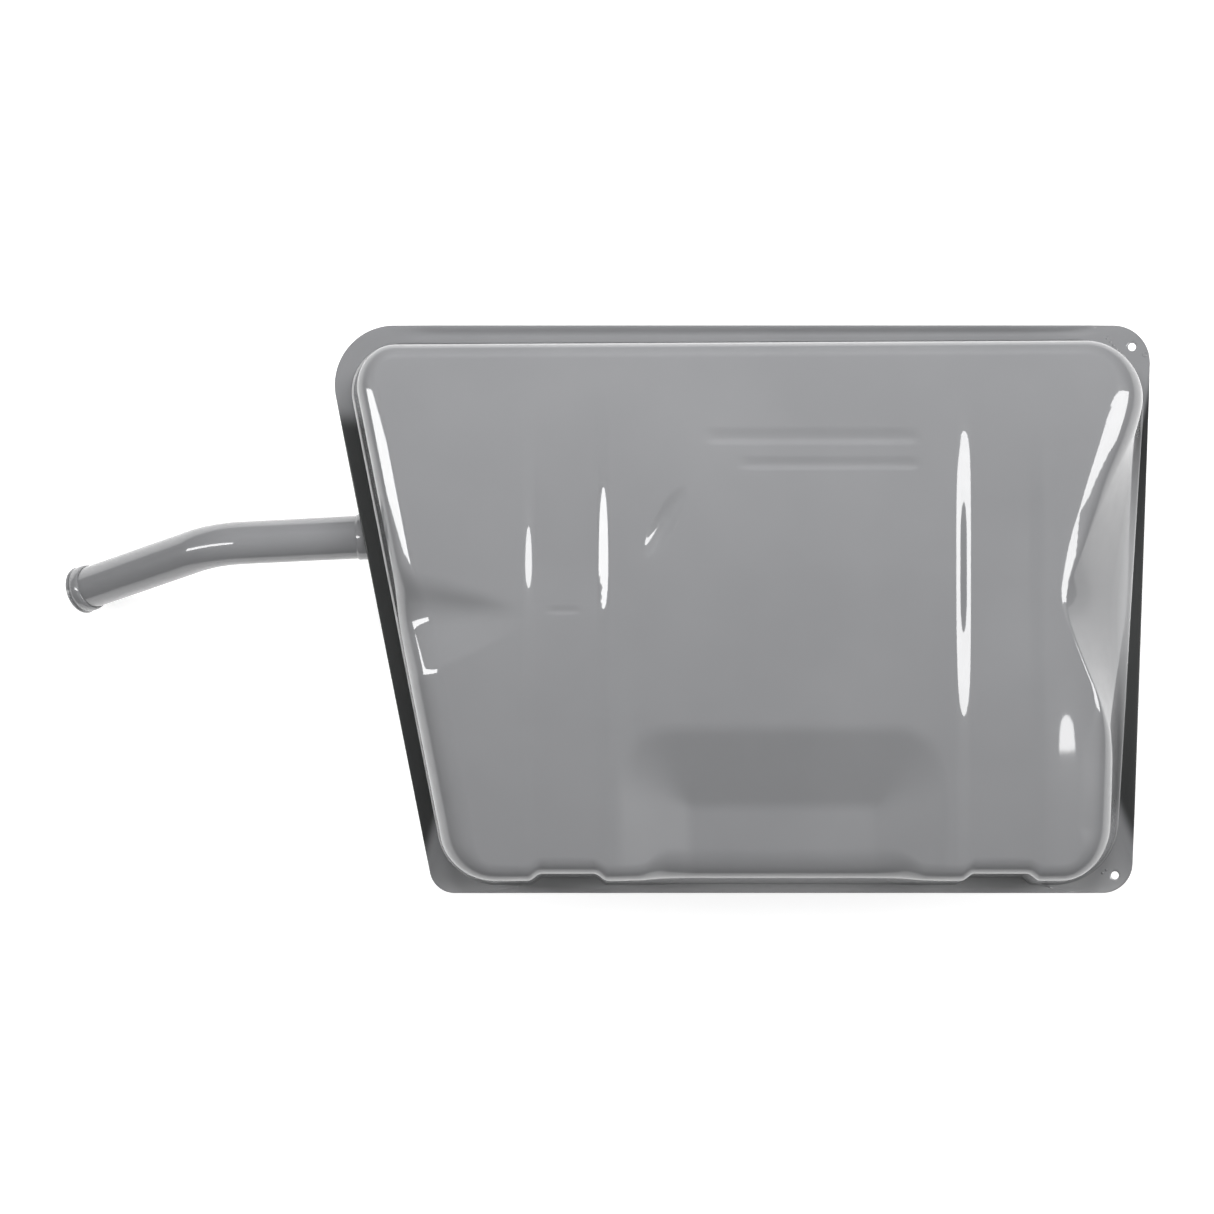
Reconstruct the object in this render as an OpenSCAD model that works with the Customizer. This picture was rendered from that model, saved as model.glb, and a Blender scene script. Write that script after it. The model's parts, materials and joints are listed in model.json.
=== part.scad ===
// Pressed-steel fuel tank, lying on its vehicle-top face with its underside up.
// Two drawn half shells share a seam-welded flange, a filler pipe leaves the side wall,
// and a bayonet-locked gauge sender with pick-up tubes closes a well in the top half.
// Millimetres, +Z up. The origin is at the centre of the resting face.

/* [Flange outline] */
// Length of the flange's upper edge
flange_top_w = 849; // [840:1:856]
// Length of the flange's lower edge
flange_bottom_w = 714; // [706:1:720]
// Depth of the flange from its upper edge to its lower edge
flange_h = 581; // [575:1:590]
// Distance from the origin to the upper right corner of the flange
flange_right_x = 565.5; // [562:0.5:568]
// How far the right edge leans in from top to bottom
right_lean = 20; // [14:1:24]

/* [Pressings] */
// Thickness of the sheet steel
sheet_t = 1.2; // [1:0.1:1.5]
// Depth of the underside half shell
lower_depth = 85; // [80:1:90]
// Depth of the vehicle-top half shell
upper_depth = 155; // [155:1:165]
// Width of each strap channel over its edges
channel_w = 84; // [78:1:88]
// Depth of each strap channel at the lower edge
channel_depth = 8; // [5:0.5:10]
// Width of the pocket pressed into the underside
pocket_w = 336; // [320:1:340]
// Depth of that pocket
pocket_depth = 26; // [18:1:30]
// Depth of the stiffening beads
bead_depth = 3; // [2:0.5:4]

/* [Flange holes] */
// Radius of the two bolt holes in the flange corners
bolt_hole_r = 4.25; // [3:0.25:5]

/* [Filler pipe] */
// Outside radius of the filler tube
pipe_r = 22.2; // [20:0.1:22.5]
// Wall thickness of the filler tube
pipe_wall = 1.2; // [1:0.1:2]
// Outside radius of the lip at the mouth
mouth_r = 25; // [24.5:0.1:26]
// Length of the straight run from the tank wall to the bend
pipe_run_a = 150; // [140:1:155]
// Length from the bend to the mouth
pipe_run_b = 189; // [170:1:190]
// Angle of the bend
pipe_bend = 34.9; // [30:0.1:36]
// Radius of the bend along the tube's centre line
pipe_bend_r = 90; // [70:1:110]

/* [Gauge sender] */
// Radius of the opening in the well's floor
sender_hole_r = 35; // [33:0.5:36]
// Depth of the well around the sender
well_depth = 30; // [30:1:34]
// Length of the float arm from its pivot to the float
arm_l = 130; // [110:1:135]
// Radius of the float
float_r = 18; // [14:1:20]
// How far the float arm hangs below level at rest
arm_rest = 43; // [30:1:45]

/* [Tubes] */
// Outside radius of the feed and vent tubes
feed_r = 4; // [3.5:0.1:4.5]
// Outside radius of the return tube
return_r = 3; // [2.5:0.1:3.5]

/* [Hidden] */

painted = [0.6, 0.61, 0.63];
tinned = [0.72, 0.73, 0.72];
zinc = [0.78, 0.77, 0.7];
brass = [0.75, 0.6, 0.3];
rubber = [0.08, 0.08, 0.08];
plastic = [0.16, 0.16, 0.17];
foam = [0.3, 0.27, 0.22];

arc_steps = 8;              // segments in each rounded corner of a shell
fillet_steps = 5;           // rings up each wall-to-panel fillet
smooth = 48;                // facets on round parts
over = 1;                   // how far a cutting shape runs past what it cuts
gap = 0.3;                  // clearance round pieces that move
slip = 0.05;                // clearance between a tube or pin and its hole

seam_z = upper_depth;       // the plane where the two flanges meet
tank_h = upper_depth + lower_depth;

// Flange corners, clockwise from the upper left one, and their radii.
flange_corners = [
    [flange_right_x - flange_top_w, flange_h / 2],
    [flange_right_x, flange_h / 2],
    [flange_right_x - right_lean, -flange_h / 2],
    [flange_right_x - right_lean - flange_bottom_w, -flange_h / 2]
];
flange_radii = [61, 37.5, 31, 25.6];

// The drawn body starts inside the flange by these amounts at each corner.
body_margin = [[21.5, -20], [-4.5, -15.5], [-18, 9.5], [15, 9.5]];
body_corners = [for (i = [0:3]) flange_corners[i] + body_margin[i]];
body_radii = [48, 68, 66, 61];

// Each side's wall leans in by its draft angle and rolls into the panel on its fillet.
// Order: upper, right, lower and left side.
lower_draft = [4, 20, 5, 9];
lower_fillet = [16, 34, 18, 24];
upper_draft = [5, 6, 5, 7];
upper_fillet = [30, 34, 30, 34];

// --- outlines -------------------------------------------------------------------------
function unit(v) = v / norm(v);
function side_dir(c, i) = unit(c[(i + 1) % 4] - c[i]);
function inward(c, i) = let (u = side_dir(c, i)) [u[1], -u[0]];

// Corner i of quadrilateral c after each side has moved inwards by its own inset.
function inset_corner(c, inset, i) =
    let (p = (i + 3) % 4)
    let (step = (inset[i] - inset[p] * inward(c, p) * inward(c, i))
                / (side_dir(c, p) * inward(c, i)))
    c[i] + inset[p] * inward(c, p) + step * side_dir(c, p);

// The points of corner i of outline c, rounded to radius r.
function corner_arc(c, i, r) =
    let (to_prev = unit(c[(i + 3) % 4] - c[i]))
    let (to_next = unit(c[(i + 1) % 4] - c[i]))
    let (half = acos(to_prev * to_next) / 2)
    let (centre = c[i] + unit(to_prev + to_next) * r / sin(half))
    let (first = c[i] + to_prev * r / tan(half) - centre)
    let (start = atan2(first[1], first[0]))
    [for (k = [0:arc_steps]) let (a = start - k / arc_steps * (180 - 2 * half))
        centre + r * [cos(a), sin(a)]];

function rounded(c, radii) = [for (i = [0:3]) each corner_arc(c, i, radii[i])];

// --- drawn shells ---------------------------------------------------------------------
// How far a wall has moved in at height h, for a shell of the given depth.
function wall_inset(h, depth, draft, fillet) =
    let (tangent = depth - fillet * (1 - sin(draft)))
    let (axis_in = fillet * cos(draft) + tangent * tan(draft))
    h <= tangent ? h * tan(draft)
                 : axis_in - sqrt(max(0, fillet * fillet - pow(h - depth + fillet, 2)));

// Heights of the rings: the root, then round the largest fillet up to the panel.
function ring_heights(depth, fillets) =
    concat([0], [for (k = [0:fillet_steps])
        depth - max(fillets) * (1 - sin(90 * k / fillet_steps))]);

// One ring of a shell at height h, moved in by the sheet's thickness t for its inner face.
function shell_ring(h, depth, draft, fillet, t) =
    let (inset = [for (s = [0:3]) t + wall_inset(h, depth, draft[s], fillet[s])])
    let (corners = [for (i = [0:3]) inset_corner(body_corners, inset, i)])
    rounded(corners, [for (r = body_radii) r - t]);

// A closed solid through rings of equal length, each at its own height.
module loft(rings, heights) {
    n = len(rings[0]);
    m = len(rings);
    points = [for (j = [0:m - 1]) for (p = rings[j]) [p[0], p[1], heights[j]]];
    walls = [for (j = [0:m - 2]) for (k = [0:n - 1])
        let (a = j * n + k)
        let (b = j * n + (k + 1) % n)
        each [[a, b, b + n], [a, b + n, a + n]]];
    foot = [[for (k = [n - 1:-1:0]) k]];
    cap = [[for (k = [0:n - 1]) (m - 1) * n + k]];
    polyhedron(points, concat(walls, foot, cap));
}

// The solid under a shell's skin, standing up from the seam plane at height 0.
module dome(depth, draft, fillet) {
    heights = ring_heights(depth, fillet);
    loft([for (h = heights) shell_ring(h, depth, draft, fillet, 0)], heights);
}

// The room inside a shell, which starts a little below the seam plane.
module dome_room(depth, draft, fillet) {
    heights = ring_heights(depth - sheet_t, fillet);
    rings = [for (h = heights) shell_ring(h, depth - sheet_t, draft, fillet, sheet_t)];
    loft(concat([rings[0]], rings), concat([-over], heights));
}

module flange_plate() {
    linear_extrude(sheet_t) polygon(rounded(flange_corners, flange_radii));
}

flange_holes = [[546, 268.5], [528.5, -272.5]];     // centres of the two bolt holes

module flange_bores() {
    for (p = flange_holes)
        translate([p[0], p[1], seam_z - 2 * sheet_t])
            cylinder(h = 4 * sheet_t, r = bolt_hole_r, $fn = smooth);
}

// --- underside pressings --------------------------------------------------------------
channel_x = [-31, 404];     // centre line of each strap channel
channel_side = 12;          // run of a channel's sloping side
notch_depth = 7;            // how far a channel cuts into the lower wall
body_low_y = body_corners[2][1];
channel_end_y = body_corners[0][1];
channel_l = channel_end_y - body_low_y;

// Section of a channel or a bead, moved out by t for the sheet's inner face.
module groove_section(w, d, side, t) {
    polygon([[-w / 2 - t, over + t], [w / 2 + t, over + t], [w / 2 + t, 0],
             [w / 2 - side + t, -d - t], [-w / 2 + side - t, -d - t], [-w / 2 - t, 0]]);
}

// A channel deepens steadily towards the lower wall and runs on down that wall.
module strap_channel(x, t) {
    floor_w = channel_w - 2 * channel_side + 2 * t;     // width of its flat floor
    translate([x, channel_end_y, tank_h])
        rotate([atan(channel_depth / channel_l), 0, 0])
            rotate([90, 0, 0])
                linear_extrude(channel_l + 2 * channel_side)
                    translate([0, channel_depth])
                        groove_section(channel_w, channel_depth, channel_side, t);
    translate([x - floor_w / 2, body_low_y - over, seam_z - over])
        cube([floor_w, notch_depth + t + over, lower_depth + 2 * over]);
}

pocket_x = 183;             // centre of the pocket
pocket_top_y = -110;
pocket_slope = 55;          // run of the pocket's sloping sides
pocket_low_slope = pocket_slope / 3;    // run of the side that opens on the lower wall
pocket_radii = [40, 40, 16, 16];
pocket_floor_radii = [12, 12, 12, 12];

function pocket_outline(inset, t) =
    let (half = pocket_w / 2 - inset + t)
    let (high = pocket_top_y - inset + t)
    let (low = body_low_y + inset * pocket_low_slope / pocket_slope - t)
    [[pocket_x - half, high], [pocket_x + half, high],
     [pocket_x + half, low], [pocket_x - half, low]];

module pocket(t) {
    brim = rounded(pocket_outline(0, t), pocket_radii);
    bed = rounded(pocket_outline(pocket_slope, t), pocket_floor_radii);
    loft([bed, brim, brim], [tank_h - pocket_depth - t, tank_h - over, tank_h + over + t]);
}

bead_side = 1 / 3;          // share of a bead's width that each sloping side takes

// Straight stiffening beads: centre, length, width and direction.
beads = [
    [[214, 175], 225, 18, 0],
    [[231, 145], 184, 14, 0],
    [[67, 86], 74, 18, 61],
    [[-36, -1], 34, 9, 0]
];

module bead(b, t) {
    translate([b[0][0], b[0][1], tank_h])
        rotate([0, 0, b[3]])
            rotate([90, 0, 90])
                translate([0, 0, -b[1] / 2 - t])
                    linear_extrude(b[1] + 2 * t)
                        groove_section(b[2], bead_depth, b[2] * bead_side, t);
}

module underside_pressings(t) {
    for (x = channel_x) strap_channel(x, t);
    pocket(t);
    for (b = beads) bead(b, t);
}

module lower_shell() {
    color(painted)
    difference() {
        union() {
            translate([0, 0, seam_z]) flange_plate();
            difference() {
                translate([0, 0, seam_z]) dome(lower_depth, lower_draft, lower_fillet);
                underside_pressings(0);
            }
        }
        difference() {
            translate([0, 0, seam_z]) dome_room(lower_depth, lower_draft, lower_fillet);
            underside_pressings(sheet_t);
        }
        flange_bores();
    }
}

// --- vehicle-top half, with the sender's well -------------------------------------------
sender = [150, 50];         // centre of the sender
vent = [50, 50];            // where the vent tube leaves the well's floor
well_r = 62;

module well(t) {
    h = well_depth + t + over;
    for (p = [sender, vent])
        translate([p[0], p[1], -over]) cylinder(h = h, r = well_r + t, $fn = smooth);
    translate([vent[0], vent[1] - well_r - t, -over])
        cube([sender[0] - vent[0], 2 * (well_r + t), h]);
}

module upper_shell() {
    color(painted)
    difference() {
        union() {
            translate([0, 0, seam_z - sheet_t]) flange_plate();
            difference() {
                translate([0, 0, seam_z])
                    mirror([0, 0, 1]) dome(upper_depth, upper_draft, upper_fillet);
                well(0);
            }
        }
        difference() {
            translate([0, 0, seam_z])
                mirror([0, 0, 1]) dome_room(upper_depth, upper_draft, upper_fillet);
            well(sheet_t);
        }
        translate([sender[0], sender[1], 0])
            cylinder(h = 2 * well_depth, r = sender_hole_r, $fn = smooth);
        translate([vent[0], vent[1], 0])
            cylinder(h = 2 * well_depth, r = feed_r + slip, $fn = smooth);
        along_filler()
            translate([-socket_in - socket_l, 0, 0])
                rotate([0, 90, 0]) cylinder(h = 3 * socket_l, r = socket_r + slip, $fn = smooth);
        flange_bores();
    }
}

// --- baffles --------------------------------------------------------------------------
baffle_t = 1;
baffle_foot = 16;           // width of the feet welded to the vehicle-top panel
baffle_low_y = -222;
baffle_l = 436;
baffle_h = 222;
baffle_lip = 8;             // width of the stiffening lip along the far edge
lightening_r = 34;
lightening_at = 0.55;       // height of the holes' centres as a share of the baffle's height

// A plate along +X with a foot, a stiffening lip and a row of lightening holes.
module baffle(length, height, holes) {
    pitch = length / holes;
    difference() {
        union() {
            cube([length, baffle_t, height]);
            cube([length, baffle_foot, baffle_t]);
            translate([0, 0, height - baffle_t]) cube([length, baffle_lip, baffle_t]);
        }
        for (k = [0:holes - 1])
            translate([(k + 0.5) * pitch, -over, height * lightening_at])
                rotate([-90, 0, 0])
                    cylinder(h = baffle_t + 2 * over, r = lightening_r, $fn = smooth);
        for (k = [1:holes - 1])
            translate([k * pitch - baffle_foot / 2, -over, -over])
                cube([baffle_foot, baffle_foot + 2 * over, baffle_foot]);
    }
}

module cross_baffle(x) {
    translate([x, baffle_low_y, sheet_t]) rotate([0, 0, 90]) baffle(baffle_l, baffle_h, 4);
}

module baffle_left() { color(tinned) cross_baffle(channel_x[0]); }
module baffle_right() { color(tinned) cross_baffle(channel_x[1]); }

long_baffle_y = -66;
long_baffle_h = 196;

module baffle_long() {
    start = channel_x[0] + 2 * baffle_t;
    color(tinned)
    translate([start, long_baffle_y, sheet_t])
        baffle(channel_x[1] - channel_x[0] - baffle_foot - 4 * baffle_t, long_baffle_h, 4);
}

// --- pick-up ---------------------------------------------------------------------------
feed = sender + [-18, -8];  // the feed tube's axis
back = sender + [18, -14];  // the return tube's axis
pot_r = 48;
pot_h = 54;
pot_t = 1;
inner_top = tank_h - sheet_t;
tube_t = 0.8;               // wall of the feed, return and vent tubes
spigot_z = 5;               // where the outside ends of the tubes stop

module swirl_pot() {
    slot_w = 12;
    slot_h = 5;
    color(tinned)
    translate([feed[0], feed[1], inner_top - pot_h])
        difference() {
            cylinder(h = pot_h, r = pot_r, $fn = smooth);
            translate([0, 0, -over]) cylinder(h = pot_h + 2 * over, r = pot_r - pot_t, $fn = smooth);
            translate([-slot_w / 2, -2 * pot_r, pot_h - slot_h])
                cube([slot_w, 4 * pot_r, slot_h + over]);
        }
}

module straight_tube(r, length) {
    difference() {
        cylinder(h = length, r = r, $fn = smooth);
        translate([0, 0, -over]) cylinder(h = length + 2 * over, r = r - tube_t, $fn = smooth);
    }
}

// A brazed collar round a tube, resting on the outside of a sheet whose face is at z.
module collar(r, z) {
    collar_h = 2;
    collar_w = 2;
    translate([0, 0, z - collar_h])
        difference() {
            cylinder(h = collar_h, r = r + collar_w, $fn = smooth);
            translate([0, 0, -over]) cylinder(h = collar_h + 2 * over, r = r - tube_t / 2, $fn = smooth);
        }
}

feed_top_z = inner_top - 16;    // where the feed tube ends, short of the panel
strainer_r = 12;
strainer_h = 28;            // half of it covers the tube, half stands beyond

module feed_tube() {
    color(zinc)
    translate([feed[0], feed[1], 0]) {
        translate([0, 0, spigot_z]) straight_tube(feed_r, feed_top_z - spigot_z);
        collar(feed_r, plate_z);
    }
}

module strainer() {
    color(brass)
    translate([feed[0], feed[1], feed_top_z - strainer_h / 2])
        difference() {
            cylinder(h = strainer_h, r = strainer_r, $fn = smooth);
            translate([0, 0, -over])
                cylinder(h = strainer_h / 2 + over, r = feed_r + slip, $fn = smooth);
        }
}

module return_tube() {
    return_top_z = 72;          // where the return tube ends inside the tank
    color(zinc)
    translate([back[0], back[1], 0]) {
        translate([0, 0, spigot_z]) straight_tube(return_r, return_top_z - spigot_z);
        collar(return_r, plate_z);
    }
}

// The vent tube leaves the well, turns over its rim and ends close to the tank's top panel.
vent_bend_r = 12;
vent_run = 51;              // level run between its two bends
vent_rise = 33;             // height where its bends start
vent_end_z = 8;

module vent_bend() {
    rotate([90, 0, 90])
        rotate_extrude(angle = 90, $fn = smooth)
            translate([vent_bend_r, 0])
                difference() {
                    circle(r = feed_r, $fn = smooth);
                    circle(r = feed_r - tube_t, $fn = smooth);
                }
}

module vent_tube() {
    color(tinned)
    translate([vent[0], vent[1], 0]) {
        translate([0, 0, spigot_z]) straight_tube(feed_r, vent_rise - spigot_z);
        collar(feed_r, well_depth);
        translate([0, vent_bend_r, vent_rise]) mirror([0, 1, 0]) vent_bend();
        translate([0, vent_bend_r, vent_rise + vent_bend_r])
            rotate([-90, 0, 0]) straight_tube(feed_r, vent_run);
        translate([0, vent_bend_r + vent_run, vent_rise]) vent_bend();
        translate([0, 2 * vent_bend_r + vent_run, vent_end_z])
            straight_tube(feed_r, vent_rise - vent_end_z);
    }
}

// --- filler ----------------------------------------------------------------------------
filler_start = [-246.5, 74.5, seam_z - 30];     // on the pipe's axis, under the flange's edge
filler_heading = 2.8;       // how far the first run slopes from the X axis, seen from above
filler_roll = -68.4;        // which way the bend turns, about the first run
socket_wall = 1.3;
socket_r = pipe_r + slip + socket_wall;
socket_l = 32;
socket_in = 29;             // how far the socket starts inside the flange's edge
pipe_inside = 55;           // how far the pipe starts inside the flange's edge
bend_reach = pipe_bend_r * tan(pipe_bend / 2);
cup_l = 16;                 // length of the flared cup at the mouth
cup_t = 1.4;                // wall of that cup
cup_flare = 4;              // length over which it flares
lip_r = 1.6;                // radius of the rolled lip
lip_stand = 0.6;            // how far the lip stands out beyond the cup

// Local +X runs along the pipe's first straight, outwards; its bend turns towards +Y.
module along_filler() {
    translate(filler_start)
        rotate([0, 0, 180 + filler_heading])
            rotate([filler_roll, 0, 0])
                children();
}

// Local +Z runs along the second straight, from the corner of the two axes.
module along_mouth() {
    along_filler()
        translate([pipe_run_a, 0, 0])
            rotate([0, 0, pipe_bend])
                rotate([0, 90, 0])
                    children();
}

module filler_straight(length) {
    difference() {
        cylinder(h = length, r = pipe_r, $fn = 2 * smooth);
        translate([0, 0, -over])
            cylinder(h = length + 2 * over, r = pipe_r - pipe_wall, $fn = 2 * smooth);
    }
}

// The fine ring that bending leaves where the bend meets the second straight.
module bend_mark() {
    mark = 0.05;
    mark_l = 1;
    translate([0, 0, -mark_l / 2])
        difference() {
            cylinder(h = mark_l, r = pipe_r + mark, $fn = 2 * smooth);
            translate([0, 0, -over])
                cylinder(h = mark_l + 2 * over, r = pipe_r - pipe_wall - mark, $fn = 2 * smooth);
        }
}

// The bend's frame: its axis is Z, and the first straight meets it at -90 degrees.
module at_bend() {
    along_filler() translate([pipe_run_a - bend_reach, pipe_bend_r, 0]) children();
}

module filler_pipe() {
    color(painted) {
        along_filler()
            translate([-pipe_inside, 0, 0])
                rotate([0, 90, 0]) filler_straight(pipe_inside + pipe_run_a - bend_reach);
        at_bend()
            rotate([0, 0, -90])
                rotate_extrude(angle = pipe_bend, $fn = 2 * smooth)
                    translate([pipe_bend_r, 0])
                        difference() {
                            circle(r = pipe_r, $fn = 2 * smooth);
                            circle(r = pipe_r - pipe_wall, $fn = 2 * smooth);
                        }
        at_bend()
            rotate([0, 0, pipe_bend - 90])
                translate([pipe_bend_r, 0, 0])
                    rotate([-90, 0, 0]) {
                        filler_straight(pipe_run_b - bend_reach - cup_l / 2);
                        bend_mark();
                    }
    }
}

module filler_socket() {
    color(painted)
    along_filler()
        translate([-socket_in, 0, 0])
            rotate([0, 90, 0])
                difference() {
                    cylinder(h = socket_l, r = socket_r, $fn = 2 * smooth);
                    translate([0, 0, -over])
                        cylinder(h = socket_l + 2 * over, r = pipe_r + slip, $fn = 2 * smooth);
                }
}

// A short cup over the pipe's end, flared out to a rolled lip.
module filler_mouth() {
    fit_r = pipe_r + slip;
    cup_r = mouth_r - lip_stand;
    color(painted)
    along_mouth()
        translate([0, 0, pipe_run_b - cup_l])
            rotate_extrude($fn = 2 * smooth) {
                polygon([[fit_r, 0], [fit_r + cup_t, 0], [cup_r, cup_flare],
                         [cup_r, cup_l - lip_r], [cup_r - cup_t, cup_l - lip_r],
                         [cup_r - cup_t, cup_l / 2 + over], [fit_r, cup_l / 2 + over]]);
                translate([mouth_r - lip_r, cup_l - lip_r]) circle(r = lip_r, $fn = smooth);
            }
}

// --- gauge sender ----------------------------------------------------------------------
seal_h = 2.5;
plate_h = 2;
plate_r = 43;
plate_z = well_depth - seal_h - plate_h;        // outside face of the sender's plate
lock_h = 2;
lock_z = plate_z - gap - lock_h;                // outside face of the locking ring
lock_in_r = 34;
seat_in_r = 44;
seat_out_r = 52;
seat_wall = 1.5;            // wall of the seat's hooked posts
lug_r = seat_out_r - seat_wall - 2 * gap;       // how far the ring's lugs reach
lug_angle = 26;             // arc that each lug takes
hook_h = 1.5;
lock_places = [0, 120, 240];                    // where the three lugs and hooks are
between_places = 60;        // from a lug to the middle of the gap after it

module at_sender(z) { translate([sender[0], sender[1], z]) children(); }

// A sector of a flat ring, centred on the X axis.
module ring_sector(r0, r1, h, angle) {
    rotate([0, 0, -angle / 2])
        rotate_extrude(angle = angle, $fn = smooth)
            translate([r0, 0]) square([r1 - r0, h]);
}

module flat_ring(r0, r1, h) {
    difference() {
        cylinder(h = h, r = r1, $fn = smooth);
        translate([0, 0, -over]) cylinder(h = h + 2 * over, r = r0, $fn = smooth);
    }
}

// The welded seat, whose hooks reach over the locking ring's lugs.
module sender_seat() {
    seat_h = 1.5;
    hook_z = lock_z - gap - hook_h;
    post_r = seat_out_r - seat_wall;
    color(tinned)
    at_sender(hook_z)
        difference() {
            cylinder(h = well_depth - hook_z, r = seat_out_r, $fn = smooth);
            translate([0, 0, -over]) cylinder(h = well_depth, r = seat_in_r, $fn = smooth);
            translate([0, 0, hook_h])
                cylinder(h = well_depth - seat_h - hook_z - hook_h, r = post_r, $fn = smooth);
            for (a = lock_places)
                rotate([0, 0, a + between_places])
                    translate([0, 0, -over])
                        ring_sector(seat_in_r - over, seat_out_r + over,
                                    well_depth - seat_h - hook_z + over,
                                    2 * between_places - lug_angle);
        }
}

module sender_seal() {
    color(rubber)
    at_sender(well_depth - seal_h) flat_ring(sender_hole_r + 1, plate_r, seal_h);
}

bush_at = [0, -22];         // the signal terminal's place on the plate
bush_r = 4.5;

module sender_plate() {
    color(zinc)
    difference() {
        at_sender(plate_z) cylinder(h = plate_h, r = plate_r, $fn = smooth);
        translate([feed[0], feed[1], 0]) cylinder(h = 2 * well_depth, r = feed_r + slip, $fn = smooth);
        translate([back[0], back[1], 0])
            cylinder(h = 2 * well_depth, r = return_r + slip, $fn = smooth);
        at_sender(0)
            translate([bush_at[0], bush_at[1], 0])
                cylinder(h = 2 * well_depth, r = bush_r + slip, $fn = smooth);
    }
}

// The bayonet ring that holds the plate, with tabs for a drift to turn it by.
module lock_ring() {
    tab = [2, 9, 5];            // thickness, width and height of a tab
    color(zinc)
    at_sender(lock_z) {
        difference() {
            union() {
                cylinder(h = lock_h, r = plate_r, $fn = smooth);
                for (a = lock_places)
                    rotate([0, 0, a]) ring_sector(lock_in_r + 1, lug_r, lock_h, lug_angle);
            }
            translate([0, 0, -over]) cylinder(h = lock_h + 2 * over, r = lock_in_r, $fn = smooth);
        }
        for (a = lock_places)
            rotate([0, 0, a + between_places])
                translate([plate_r - 2 * tab[0], -tab[1] / 2, -tab[2]]) cube(tab);
    }
}

pivot = [sender[0] + 13, sender[1] + 14, 120];  // the arm's axis, on the housing's back face
housing = [34, 10, 32];     // outside size of the gauge housing
housing_wall = 1.5;
cover_t = 1;
pin_r = 2;

module sender_stem() {
    strip = [14, 2];            // width and thickness of the upright
    foot = [12, 1.5];           // length and thickness of its foot on the plate
    inner_z = plate_z + plate_h;
    color(zinc)
    translate([pivot[0] - strip[0] / 2, pivot[1] - strip[1], inner_z]) {
        cube([strip[0], strip[1], pivot[2] - inner_z]);
        translate([0, -foot[0], 0]) cube([strip[0], foot[0] + strip[1], foot[1]]);
    }
}

module at_pivot(y) { translate([pivot[0], pivot[1] + y, pivot[2]]) rotate([-90, 0, 0]) children(); }

module pin_bore() { at_pivot(-over) cylinder(h = 3 * housing[1], r = pin_r + slip, $fn = smooth); }

module gauge_housing() {
    color(plastic)
    difference() {
        translate([pivot[0] - housing[0] / 2, pivot[1], pivot[2] - housing[2] / 2]) cube(housing);
        translate([pivot[0] - housing[0] / 2 + housing_wall, pivot[1] + housing_wall,
                   pivot[2] - housing[2] / 2 + housing_wall])
            cube([housing[0] - 2 * housing_wall, housing[1], housing[2] - 2 * housing_wall]);
        pin_bore();
    }
}

module gauge_cover() {
    color(plastic)
    difference() {
        translate([pivot[0] - housing[0] / 2, pivot[1] + housing[1], pivot[2] - housing[2] / 2])
            cube([housing[0], cover_t, housing[2]]);
        pin_bore();
    }
}

// The wound card that the wiper sweeps, on the housing's floor.
module gauge_resistor() {
    card_t = 1.2;
    card_r = 8;                 // inside radius of the card
    card_w = 4.5;
    color(brass)
    translate([0, pivot[1] + housing_wall, 0])
        translate([pivot[0], 0, pivot[2]])
            rotate([-90, 0, 0])
                rotate([0, 0, arm_rest])
                    rotate_extrude(angle = -90, $fn = smooth)
                        translate([card_r, 0]) square([card_w, card_t]);
}

arm_hub = [4.5, 4.2];       // radius and length of the arm's hub
arm_room = 0.3;             // room between the hub and the housing's cover, besides the gap
arm_y = housing[1] + cover_t + gap + arm_room + arm_hub[1] / 2; // arm's plane from the back face
pin_tail = 0.7;             // how far the pin stands out past the arm's hub
pin_l = arm_y + arm_hub[1] / 2 + pin_tail;
wire_r = 1.4;               // radius of the arm's wire

module pivot_pin() {
    color(zinc) at_pivot(gap) cylinder(h = pin_l, r = pin_r, $fn = smooth);
}

// Local +X points along the arm at rest.
module along_arm(y) {
    translate([pivot[0], pivot[1] + y, pivot[2]]) rotate([0, arm_rest, 0]) children();
}

module hub(r, h) {
    rotate([90, 0, 0])
        translate([0, 0, -h / 2])
            difference() {
                cylinder(h = h, r = r, $fn = smooth);
                translate([0, 0, -over]) cylinder(h = h + 2 * over, r = pin_r, $fn = smooth);
            }
}

module wiper() {
    hub_size = [4, 3];          // radius and length
    finger = [9, 0.8, 3];
    contact = [2, 2.7, 3];
    finger_at = 3;              // where the finger leaves the hub
    contact_at = 9.5;
    color(brass)
    along_arm(housing[1] - hub_size[1] / 2 - gap) {
        hub(hub_size[0], hub_size[1]);
        translate([finger_at, -finger[1] / 2, -finger[2] / 2]) cube(finger);
        translate([contact_at, -contact[1], -contact[2] / 2]) cube(contact);
    }
}

float_l = 40;
float_side = 3;             // room between the arm's plane and the float
wire_tail = 3;              // how far the wire runs on past the float

module float_arm() {
    wire_in = arm_hub[0] - 0.5; // the wire starts just inside the hub's rim
    color(zinc)
    along_arm(arm_y) {
        hub(arm_hub[0], arm_hub[1]);
        translate([wire_in, 0, 0])
            rotate([0, 90, 0]) cylinder(h = arm_l - wire_in, r = wire_r, $fn = smooth);
        translate([arm_l, 0, 0]) sphere(r = wire_r, $fn = smooth);
        translate([arm_l, 0, 0])
            rotate([-90, 0, 0]) cylinder(h = float_side + float_l + wire_tail, r = wire_r, $fn = smooth);
    }
}

module float() {
    color(foam)
    along_arm(arm_y)
        translate([arm_l, float_side, 0])
            rotate([-90, 0, 0])
                difference() {
                    cylinder(h = float_l, r = float_r, $fn = smooth);
                    translate([0, 0, -over])
                        cylinder(h = float_l + 2 * over, r = wire_r + slip, $fn = smooth);
                }
}

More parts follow.
